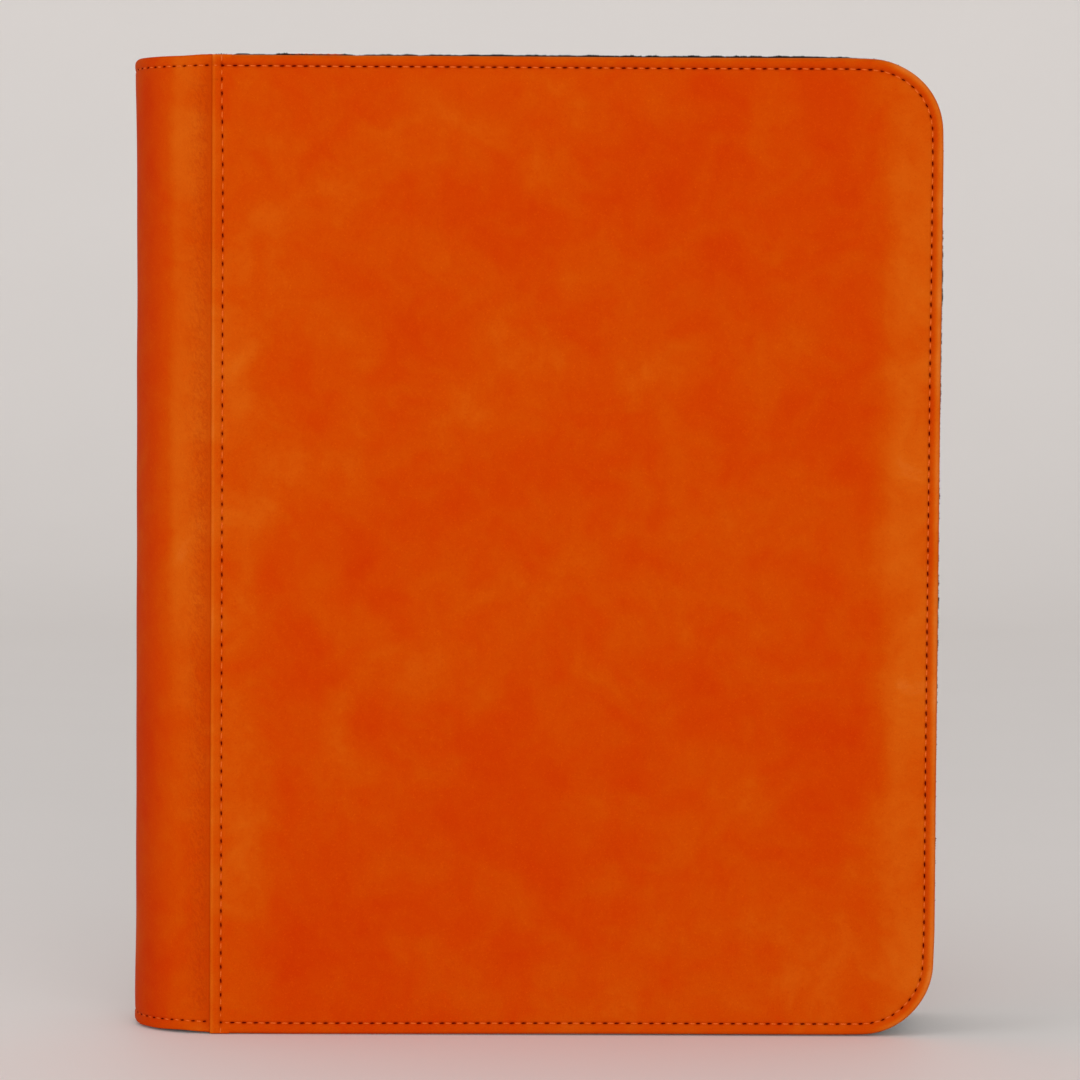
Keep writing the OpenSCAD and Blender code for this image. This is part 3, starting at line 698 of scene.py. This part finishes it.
def teeth(side, mats):
    """The zip's moulded teeth on one cover. The back cover's stand half a millimetre further on."""
    pitch, margin, past_stop = 1.55, 2.9, 0.5
    _, far, near, _ = band_box(side, "zip_teeth")
    inset = band_box(side, "zip_tape")[0]
    start = band_box(side, "gusset")[3] + margin
    end = start if side else mm_box("front_zip_stops")[1][0] - HX + past_stop
    sites = even_steps(inset, start, EDGE_LEN - end, pitch)
    x, z, nx, nz = (v[:, None] for v in edge_point(sites, inset))
    # the tooth's cross-sections: place from root to tip, half its width and its height
    sections = [(0.0, 0.44, 1.25), (0.12, 0.50, 1.55), (0.5, 0.44, 1.6), (0.68, 0.56, 1.85),
                (0.86, 0.58, 1.8), (1.0, 0.34, 1.3)]
    ring = [(-0.8, 0), (-1, 0.25), (-1, 0.8), (-0.6, 1), (0.6, 1), (1, 0.8), (1, 0.25), (0.8, 0)]
    along, depth, up = np.array([[w * rx, t, hgt * rz] for t, w, hgt in sections for rx, rz in ring]).T
    along = along + 0.5 * side
    verts = points(x - nz * along + nx * up, -(far + (near - far) * depth), z + nx * along + nz * up)
    cell = tube_faces(len(sections), len(ring))
    faces = [[base + v for v in f] for base in range(0, len(verts), len(depth)) for f in cell]
    name = SIDES[side]
    make(f"{name}_teeth", verts, faces, mats, f"{name}_cover", "zip_teeth", (f"{name}_zip_teeth",),
         mirror=side, closed=True)


# ---- slider and pull tab
def at(flat, z):
    """A flat outline of x and y at height z."""
    return points(*flat.T, z)


def slider(mats):
    """The slider: a shell over the teeth, a plate under the tape, a post between and a bridge."""
    low, high = mm_box("zip_slider")
    cx, half_w, half = (low[0] + high[0]) / 2 - HX, high[1], (high[0] - low[0]) / 2
    bottom = low[2]
    top = bottom + 5.6  # the shell's top, under the puller's bar
    verts, faces = [], []

    def loft(rings):
        faces.extend(tube_faces(len(rings), len(rings[0]), len(verts)))
        verts.extend(np.concatenate(rings))

    def outline(inset):
        a, w = half - inset, half_w - inset
        return rounded([(-a, -w + 1.3), (-a + 2.6, -w), (a - 2.6, -w), (a, -w + 1.7), (a, w - 1.7),
                        (a - 2.6, w), (-a + 2.6, w), (-a, w - 1.3)], 1.1, 5) + (cx, 0)

    def block(x0, x1, y0, y1, round_by):
        return rounded([(x0, y0), (x1, y0), (x1, y1), (x0, y1)], round_by, 4) + (cx, 0)

    loft([at(outline(i), top + z) for i, z in ((0.0, -1.2), (0.0, -0.55), (0.08, -0.3), (0.26, -0.1),
                                               (0.55, 0), (1.6, 0.04))])
    loft([at(outline(i), bottom + z) for i, z in ((0.5, 0), (0.2, 0.12), (0.04, 0.32), (0.0, 0.55),
                                                  (0.0, 1.2))])
    for y0, y1 in ((0.02 - half_w, 1.25 - half_w), (half_w - 1.25, half_w - 0.02)):
        wall = block(2.7 - half, half - 2.7, y0, y1, 0.4)
        loft([at(wall, z) for z in (bottom + 2.45, bottom + 2.6, top - 1.1)])
    loft([at(block(1.1, 4.4, -0.38, 0.38, 0.3), z) for z in (bottom + 1.1, top - 1.1)])
    strap = rounded([(-0.95, -0.24), (0.95, -0.24), (0.95, 0.24), (-0.95, 0.24)], 0.2, 4)
    bridge = []
    for a in np.radians(np.linspace(180, 0, 17)):
        reach = abs(math.cos(a)) ** 0.45 * math.copysign(1, math.cos(a))
        rise = max(0.0, math.sin(a)) ** 0.55
        centre = np.array([cx + 3.3 * reach, 0, top - 0.25 + 2.0 * rise])
        normal = np.array([reach * (1 - rise), max(rise, 0.001)])
        normal /= np.linalg.norm(normal)
        x, z = (strap[:, 1:] * normal).T
        bridge.append(centre + points(x, strap[:, 0], z))
    loft(bridge)
    make("slider_body", verts, faces, mats, "zip_slider", "zip_metal", ("zip_slider",), closed=True)


TAB_MID = mm_box("zip_pull_tab")[0][2] + 1.25  # height of the joint between the pull tab's two leathers


def pull_tab(mats, sew):
    """The tab's two leathers, pressed together over the puller's end, with a sewn border."""
    low, high = mm_box("zip_pull_tab")
    x0, x1, half = low[0] - HX, high[0] - HX, high[1] - 0.1
    leather_t, seam_in, clear_of_puller = 1.15, 1.45, 5.6

    def outline(inset):
        a = np.linspace(-math.pi / 2, math.pi / 2, 24)
        r, xe, xs = half - inset, x1 - half, x0 + inset
        sides = np.linspace(xs, xe, 14)[1:-1]
        pts = [(xs, v) for v in np.linspace(r - 1.2, 1.2 - r, 9)] + [(xs + 0.35, 0.35 - r)]
        pts += [(x, -r) for x in sides] + list(zip(xe + r * np.cos(a), r * np.sin(a)))
        return np.array(pts + [(x, r) for x in sides[::-1]] + [(xs + 0.35, r - 0.35)])

    # inset and height of the upper leather's rings, from the top to the joint
    upper = [(3.4, 0.96), (1.75, 1.0), (seam_in, 0.93), (1.15, 1.0), (0.75, 0.99), (0.35, 0.90),
             (0.1, 0.70), (0.0, 0.42), (0.0, 0.12), (0.09, 0.03)]
    lower = [(inset, -z) for inset, z in upper[::-1] if inset not in (seam_in, 1.75)]
    rings = [at(outline(inset), TAB_MID + leather_t * z) for inset, z in upper + lower]
    make("pull_tab_leather", np.concatenate(rings), tube_faces(len(rings), len(rings[0])), mats, "zip_pull",
         "orange_leather", ("zip_pull_tab",), closed=True)
    line = outline(seam_in)
    line = line[line[:, 0] > x0 + clear_of_puller]
    length = np.concatenate([[0], np.cumsum(np.hypot(*np.diff(line, axis=0).T))])
    holes = np.linspace(0, length[-1], round(length[-1] / 2.6) + 1)
    c = at(points(*(np.interp(holes, length, v) for v in line.T)), TAB_MID + leather_t * 0.96)
    along = np.gradient(c, axis=0)
    along /= np.linalg.norm(along, axis=1)[:, None]
    stitches("pull_tab_stitches", c, along, points(0 * holes, 0, 1), sew, rise=0.08, radius=0.19,
             hole=(0.34, 0.24), body="zip_pull", slot="sewing_thread")


def pull_rivet(mats):
    """A domed rivet through the tab and the puller."""
    low, high = mm_box("zip_pull_rivet")
    centre, r = np.array([(low[0] + high[0]) / 2 - HX, 0]), (high[0] - low[0]) / 2
    # radius, as a share of the head's, and height, from the dome down to the lower head
    profile = [(0.35, 1.495), (0.7, 1.46), (0.9, 1.40), (0.97, 1.31), (1.0, 1.2), (0.97, 1.10),
               (0.55, 1.05), (0.55, -1.05), (0.97, -1.10), (1.0, -1.16), (0.97, -1.22), (0.8, -1.28)]
    a = np.linspace(0, 2 * math.pi, 40, endpoint=False)
    circle = r * points(np.cos(a), np.sin(a))
    rings = [at(centre + f * circle, TAB_MID + z) for f, z in profile]
    make("pull_rivet", np.concatenate(rings), tube_faces(len(rings), len(a)), mats, "zip_pull", "zip_metal",
         ("zip_pull_rivet",), closed=True)


# ---- pages
def film(leaf, mats):
    """The clear pockets on both sides of a page: one welded sheet each, raised over every pocket."""
    name = f"leaf_{leaf:02d}"
    low, high = mm_box(f"{name}_pockets")
    mid, top = (low[1] + high[1]) / 2, (high[1] - low[1]) / 2 - 0.12
    x0, x1, z0, z1 = low[0] - HX, high[0] - HX, low[2], high[2]
    count, weld, sheet_half = 3, 1.2, 0.25  # pockets in a row and a column, weld width, half the page's sheet
    pw, ph = (x1 - x0) / count, (z1 - z0) / count

    def stops(start, length):
        """Grid lines over three pockets, close together at the welds."""
        one = [0, weld * 0.9, weld, weld + 0.5, weld + 2.5, *(length * k for k in (0.2, 0.4, 0.6, 0.8)),
               *(length - v for v in (weld + 2.5, weld + 0.5, weld, weld * 0.9))]
        return np.concatenate([start + k * length + np.array(one) for k in range(count)]
                              + [[start + count * length]])

    gx, gz = np.meshgrid(stops(x0, pw), stops(z0, ph))
    u = np.where(gx >= x1 - 1e-6, pw, (gx - x0) % pw)
    v = np.where(gz >= z1 - 1e-6, ph, (gz - z0) % ph)
    puff = ease(weld - 0.1, weld + 0.1, u) * ease(weld, weld + 2.6, pw - u) \
        * ease(weld, weld + 2.6, v) * ease(weld, weld + 2.6, ph - v)
    flutter = 0.10 * np.sin(gx / 13 + leaf) * np.sin(gz / 19 + 2 * leaf)
    height = sheet_half + 0.06 + (top - sheet_half - 0.2) * puff * (0.85 + flutter)
    for face, tag in ((-1, "a"), (1, "b")):
        ob = make(f"{name}_film_{tag}", points(gx, mid + face * height, gz),
                  grid_faces(*gx.shape, flip=face > 0), mats, name, "clear_film", (f"{name}_pockets",))
        solid = ob.modifiers.new("film", "SOLIDIFY")
        solid.thickness, solid.offset = 0.15 * MM, -1


# ---- materials
class Nodes:
    """Short calls for building a material's nodes."""

    def __init__(self, name):
        self.m = bpy.data.materials.new(name)
        self.m.use_nodes = True
        self.t = self.m.node_tree
        self.t.nodes.clear()
        self.bsdf = self.new("BsdfPrincipled")
        self.new("OutputMaterial", {0: self.bsdf.outputs[0]})
        self.mm = self.vmath("MULTIPLY", self.new("TexCoord").outputs["Object"], (1000, 1000, 1000))

    def new(self, kind, feeds=None, **settings):
        """A node with its settings made and its inputs, by name or number, fed."""
        n = self.t.nodes.new("ShaderNode" + kind)
        for k, v in settings.items():
            setattr(n, k, v)
        for k, v in (feeds or {}).items():
            self.feed(n.inputs[k], v)
        return n

    def feed(self, socket, value):
        if isinstance(value, bpy.types.NodeSocket):
            self.t.links.new(value, socket)
        elif socket.type == "RGBA":
            socket.default_value = (*value, 1)
        else:
            socket.default_value = value

    def vmath(self, op, a, b):
        return self.new("VectorMath", {0: a, 1: b}, operation=op).outputs[0]

    def math(self, op, a, b):
        return self.new("Math", {0: a, 1: b}, operation=op).outputs[0]

    def mul(self, a, b):
        return self.math("MULTIPLY", a, b)

    def add(self, first, *others):
        for value in others:
            first = self.math("ADD", first, value)
        return first

    def noise(self, size, detail=3, rough=0.5, distort=0.0, stretch=None, at=None):
        v = at or self.mm
        if stretch:
            v = self.vmath("MULTIPLY", v, stretch)
        return self.new("TexNoise", {"Vector": v, "Scale": 1.0 / size, "Detail": detail, "Roughness": rough,
                                     "Distortion": distort}).outputs["Fac"]

    def cells(self, size, feature="F1"):
        feeds = {"Vector": self.mm, "Scale": 1.0 / size}
        return self.new("TexVoronoi", feeds, feature=feature).outputs["Distance"]

    def bands(self, axis, scale, distort):
        feeds = {"Vector": self.mm, "Scale": scale, "Distortion": distort}
        return self.new("TexWave", feeds, wave_type="BANDS", bands_direction=axis).outputs["Fac"]

    def ramp(self, fac, stops):
        n = self.new("ValToRGB", {0: fac})
        els = n.color_ramp.elements
        while len(els) < len(stops):
            els.new(0.5)
        for e, (p, c) in zip(els, stops):
            e.position, e.color = p, (*c, 1)
        return n.outputs[0]

    def map(self, v, a, b, c=0.0, d=1.0):
        return self.new("MapRange", dict(enumerate((v, a, b, c, d))), clamp=True).outputs[0]

    def mix(self, fac, a, b):
        return self.new("Mix", {"Factor": fac, 6: a, 7: b}, data_type="RGBA").outputs[2]

    def attr(self, name):
        return self.new("Attribute", attribute_name=name).outputs["Fac"]

    def bump(self, height, strength, distance, under=None):
        feeds = {"Strength": strength, "Distance": distance * MM, "Height": height}
        if under is not None:
            feeds["Normal"] = under
        return self.new("Bump", feeds).outputs[0]

    def shade(self, **values):
        """Feeds the shader and hands over the finished material."""
        for k, v in values.items():
            self.feed(self.bsdf.inputs[k.replace("_", " ")], v)
        return self.m


def leather(name, crease=False):
    """Pull-up leather: nearly even red, clouded green, fine grain, paler where it is stretched and under painted
    highlights, and darkened by painted shade round needle holes, in creases and by the shade tone.
    """
    n = Nodes(name)
    big = n.noise(70, 3, 0.5, 0.4)
    mid = n.noise(24, 6, 0.62, 0.5)
    small = n.noise(6, 5, 0.65, 0.3)
    # the "edge" tone makes the leather paler: partly wear, partly painted highlight
    mottle_wear_and_highlight = n.add(n.mul(big, 0.40), n.mul(mid, 0.42), n.mul(small, 0.15), n.mul(n.attr("edge"), 0.13))
    colour = n.ramp(mottle_wear_and_highlight, [(0.355, (0.436, 0.0275, 0.0004)), (0.45, (0.445, 0.0365, 0.0004)),
                             (0.55, (0.450, 0.0495, 0.0006)), (0.705, (0.478, 0.0790, 0.0028)),
                             (0.84, (0.520, 0.115, 0.012)), (0.98, (0.600, 0.190, 0.050))])
    cells = n.cells(0.85, "SMOOTH_F1")
    fine = n.noise(0.32, 2, 0.6)
    pores = n.map(n.cells(1.9), 0.0, 0.16, 1.0, 0.0)
    speck = n.noise(0.6, 4, 0.75)
    colour = n.mix(n.map(speck, 0.56, 0.72, 0.0, 0.46), colour, (0.36, 0.016, 0.0004))
    colour = n.mix(n.map(speck, 0.30, 0.42, 0.24, 0.0), colour, (0.70, 0.12, 0.004))
    colour = n.mix(n.attr("shade"), colour, (0.30, 0.020, 0.0004))
    # painted shade round the needle holes
    colour = n.mix(n.mul(n.attr("hole"), 0.70), colour, (0.20, 0.008, 0.0006))
    height = n.add(n.mul(cells, 0.7), n.mul(fine, 0.35), n.mul(pores, -0.25))
    bump = n.bump(height, 0.30, 0.09)
    if crease:
        lean = n.new("VectorRotate", {"Vector": n.mm, "Angle": math.radians(28)}, rotation_type="Y_AXIS")
        lines = n.noise(0.75, 4, 0.65, 0.9, stretch=(1.0, 1.0, 0.42), at=lean.outputs[0])
        crease_shade = n.map(lines, 0.40, 0.56, 1.0, 0.0)
        # painted shade in the creases
        colour = n.mix(n.mul(n.mul(crease_shade, n.attr("crease")), 0.38), colour, (0.30, 0.020, 0.001))
        bump = n.bump(n.mul(lines, n.attr("crease")), 0.45, 0.35, bump)
    bump = n.bump(n.noise(6.5, 3, 0.5), 0.10, 0.30, bump)
    return n.shade(Base_Color=colour, Roughness=n.map(mottle_wear_and_highlight, 0.35, 0.75, 0.62, 0.48), Normal=bump,
                   Specular_IOR_Level=0.02, Specular_Tint=(1.0, 0.45, 0.03))


def thread(name, low, high, shine):
    """Twisted sewing thread, darker between its plies: painted shade."""
    n = Nodes(name)
    ply = n.bands("DIAGONAL", 0.9, 1.0)
    fuzz = n.noise(0.25, 3, 0.6)
    colour = n.mix(n.mul(ply, 0.7), low, high)
    colour = n.mix(n.mul(fuzz, 0.35), colour, low)
    return n.shade(Base_Color=colour, Roughness=0.62, Specular_IOR_Level=shine,
                   Normal=n.bump(n.add(ply, fuzz), 0.5, 0.12))


def needle_hole_shade(name):
    """Painted shade: the dark colour of the dip round a needle hole."""
    n = Nodes(name)
    f = n.noise(0.4, 3, 0.6)
    return n.shade(Base_Color=n.mix(f, (0.045, 0.0002, 0.0001), (0.095, 0.0006, 0.0002)), Roughness=0.85,
                   Specular_IOR_Level=0.0, Normal=n.bump(f, 0.5, 0.1))


def weave(name, low, high, warp=0.55, rib=1.0, gloss=0.8, depth=0.12, sheen=0.2):
    """Woven cloth: two crossed sets of yarns, with fuzz and soft wear."""
    n = Nodes(name)
    x, y, z = (n.bands(axis, 0.31 / gap, 0.4) for axis, gap in (("X", warp), ("Y", warp * rib), ("Z", warp)))
    yarn = n.math("MAXIMUM", n.mul(x, z), y)
    fuzz = n.noise(0.3, 4, 0.7)
    wear = n.noise(22, 4, 0.6)
    colour = n.mix(n.mul(yarn, n.map(fuzz, 0.2, 0.9, 0.5, 1.0)), low, high)
    colour = n.mix(n.map(wear, 0.5, 0.75, 0.0, 0.10), colour, tuple(1.3 * v + 0.002 for v in high))
    return n.shade(Base_Color=colour, Roughness=gloss, Specular_IOR_Level=sheen,
                   Normal=n.bump(n.add(yarn, n.mul(fuzz, 0.5)), 0.6, depth))


def plastic(name, low, high, rough=(0.35, 0.5), grain=0.8, depth=0.03):
    """Moulded or rolled plastic with a faint grain."""
    n = Nodes(name)
    f, g = n.noise(grain, 3, 0.6), n.noise(18, 4, 0.6)
    return n.shade(Base_Color=n.mix(n.map(g, 0.3, 0.7), low, high), Roughness=n.map(g, 0.3, 0.7, *rough),
                   Normal=n.bump(f, 0.4, depth))


def metal(name, low, high, rough=(0.25, 0.42)):
    """Metal with fine scratches across its grain."""
    n = Nodes(name)
    scratch = n.noise(0.6, 4, 0.7, stretch=(0.25, 2.2, 1.5))
    patch = n.noise(4.0, 3, 0.6)
    return n.shade(Base_Color=n.mix(n.map(patch, 0.3, 0.7), low, high), Metallic=1.0,
                   Roughness=n.map(scratch, 0.3, 0.7, *rough), Normal=n.bump(scratch, 0.25, 0.03))


def clear_film(name):
    """Clear pocket film, slightly rippled."""
    n = Nodes(name)
    f = n.noise(11, 3, 0.6, 0.4)
    n.m.surface_render_method = "BLENDED"
    return n.shade(Base_Color=n.mix(f, (0.86, 0.88, 0.90), (0.95, 0.96, 0.97)), Alpha=0.42, IOR=1.35,
                   Roughness=n.map(f, 0.3, 0.7, 0.05, 0.14), Transmission_Weight=1.0,
                   Normal=n.bump(f, 0.15, 0.25))


def pulp(name, low, high):
    """Grey board or foam: matt and finely uneven."""
    n = Nodes(name)
    f = n.noise(0.9, 5, 0.7)
    return n.shade(Base_Color=n.mix(n.map(f, 0.3, 0.7), low, high), Roughness=0.9,
                   Normal=n.bump(f, 0.4, 0.08))


MAT = {
    "panel": leather("leather_panel"),
    "spine": leather("leather_spine", crease=True),
    "thread": thread("thread_orange", (0.50, 0.062, 0.005), (0.80, 0.190, 0.030), 0.04),
    "hole": needle_hole_shade("needle_hole_shade"),
    "black_thread": thread("thread_black", (0.010, 0.010, 0.011), (0.035, 0.035, 0.037), 0.3),
    "gusset": weave("gusset_cloth", (0.005, 0.005, 0.006), (0.020, 0.020, 0.022), 0.45, sheen=0.08),
    "piping": weave("piping_cloth", (0.004, 0.004, 0.004), (0.014, 0.012, 0.011), 0.5, sheen=0.05),
    "tape": weave("tape_weave", (0.005, 0.005, 0.006), (0.020, 0.020, 0.022), 0.6, 0.6),
    "teeth": plastic("teeth_nylon", (0.012, 0.012, 0.013), (0.025, 0.025, 0.027), (0.28, 0.42)),
    "lining": weave("lining_cloth", (0.010, 0.010, 0.011), (0.030, 0.030, 0.033), 0.35, 1.0, 0.75, 0.06),
    "guard": weave("guard_cloth", (0.010, 0.010, 0.011), (0.028, 0.028, 0.030), 0.4),
    "sheet": plastic("page_sheet", (0.014, 0.014, 0.015), (0.022, 0.022, 0.024), (0.40, 0.55), 0.5, 0.02),
    "film": clear_film("pocket_film"),
    "metal": metal("gunmetal", (0.030, 0.030, 0.032), (0.060, 0.060, 0.064)),
    "bright": metal("rivet_metal", (0.32, 0.32, 0.33), (0.48, 0.47, 0.46), (0.2, 0.35)),
    "board": pulp("grey_board", (0.22, 0.21, 0.19), (0.34, 0.33, 0.30)),
    "foam": pulp("foam", (0.62, 0.62, 0.60), (0.75, 0.75, 0.73)),
    "stiffener": plastic("spine_stiffener", (0.70, 0.70, 0.68), (0.78, 0.78, 0.76)),
}
SLOT_MATERIAL = {
    "orange_leather": "panel", "cover_foam": "foam", "grey_board": "board", "black_lining": "lining",
    "black_gusset_cloth": "gusset", "zip_tape": "tape", "zip_teeth": "teeth", "zip_metal": "metal",
    "sewing_thread": "thread", "spine_stiffener": "stiffener", "guard_cloth": "guard",
    "page_sheet": "sheet", "clear_film": "film",
}

# every CAD node gets its procedural material
for part in frame["record"]["subparts"]:
    node = part["node"]
    key = "bright" if node == "zip_pull_rivet" else SLOT_MATERIAL[part["material_slot"]]
    materials = frame["nodes"][node].data.materials
    materials.clear()
    materials.append(MAT[key])

bevel = frame["nodes"]["zip_puller"].modifiers.new("soft_edges", "BEVEL")
bevel.width, bevel.segments, bevel.limit_method = 0.22 * MM, 3, "ANGLE"

# ---- build
sew = [MAT["thread"], MAT["hole"]]
for side in (0, 1):
    panel(side, MAT["panel"])
    cover_stitches(side, sew)
    spine_half(side, MAT["spine"])
    gusset(side, MAT["gusset"])
    piping(side, MAT["piping"])
    tape(side, MAT["tape"])
    band_seam(side, MAT["black_thread"])
    teeth(side, MAT["teeth"])
spine_stitches(sew)
# thickness, end beside the hinge and distance from the spine's ends of its two inner layers
spine_layer("spine_stiffener_strip", "spine_stiffener", 0.7, -2.0, 2.6, MAT["stiffener"], "spine_stiffener")
spine_layer("spine_lining_cloth", "spine_lining", 0.6, -0.3, 1.9, MAT["lining"], "black_lining")
slider(MAT["metal"])
pull_tab(MAT["panel"], sew)
pull_rivet(MAT["bright"])
for leaf in range(1, 13):
    film(leaf, MAT["film"])

# ---- stage, light, camera
def cyclorama():
    """A pale table that curves up into the backdrop behind the binder, in metres."""
    front, back, rise, half_width, radius, columns = -4.5, 3.4, 3.4, 5.0, 1.3, 9
    below = 0.0002  # gap between the table and the binder
    profile = [(front, 0.0), (0.0, 0.0), (back - radius, 0.0)]
    for a in np.radians(np.arange(7.5, 90.1, 7.5)):
        profile.append((back - radius + radius * math.sin(a), radius - radius * math.cos(a)))
    profile.append((back, rise))
    verts = [(x, y, z - below) for y, z in profile for x in np.linspace(-half_width, half_width, columns)]
    n = Nodes("table")
    paper = n.shade(Base_Color=n.mix(n.noise(160, 3, 0.5), (0.828, 0.786, 0.751), (0.848, 0.806, 0.771)),
                    Roughness=0.62, Specular_IOR_Level=0.2)
    name = "table_and_backdrop"
    ob = link(name, smooth_mesh(name, verts, grid_faces(len(profile), columns), paper))


def area(name, place, aim, size, power, colour=(1, 1, 1)):
    """A soft rectangular light, in metres and watts."""
    light = bpy.data.lights.new(name, "AREA")
    light.shape, light.size, light.size_y = "RECTANGLE", size[0], size[1]
    light.energy, light.color = power, colour
    ob = link(name, light)
    ob.location = place
    ob.rotation_euler = (Vector(aim) - Vector(place)).to_track_quat("-Z", "Y").to_euler()


cyclorama()
area("key", (0.35, -3.4, 0.58), (0, 0, 0.17), (3.4, 1.1), 87, (1.0, 0.99, 0.98))
area("fill", (-1.7, -0.9, 0.6), (0, 0, 0.17), (1.0, 1.2), 8, (0.98, 0.99, 1.0))
area("backdrop", (0, 2.0, 2.4), (0, 2.4, 0), (3.6, 1.2), 3)
world = bpy.data.worlds.new("studio")
world.use_nodes = True
sky = world.node_tree.nodes["Background"].inputs
sky[0].default_value, sky[1].default_value = (0.93, 0.93, 0.95, 1), 0.62
bpy.context.scene.world = world
bpy.context.scene.view_settings.view_transform = "Standard"

# the photographed viewpoint: straight ahead, a little above the middle
centre = (Vector(CAD_LOW) + Vector(CAD_HIGH)) / 2
place = Vector((centre.x - 0.0206, -1.3871, centre.z + 0.0620))
yaw, pitch, roll = (math.radians(v) for v in (-0.909, -2.552, 0.370))
turned = Matrix.Rotation(yaw, 3, "Z") @ Matrix.Rotation(math.pi / 2 + pitch, 3, "X")
turned = turned @ Matrix.Rotation(roll, 3, "Z")
cam_data = bpy.data.cameras.new("camera")
cam_data.sensor_width, cam_data.lens = 36, 126.32
cam_data.clip_start, cam_data.clip_end = 0.05, 20
cam = link("camera", cam_data)
cam.matrix_world = Matrix.Translation(place) @ turned.to_4x4()
bpy.context.scene.camera = cam
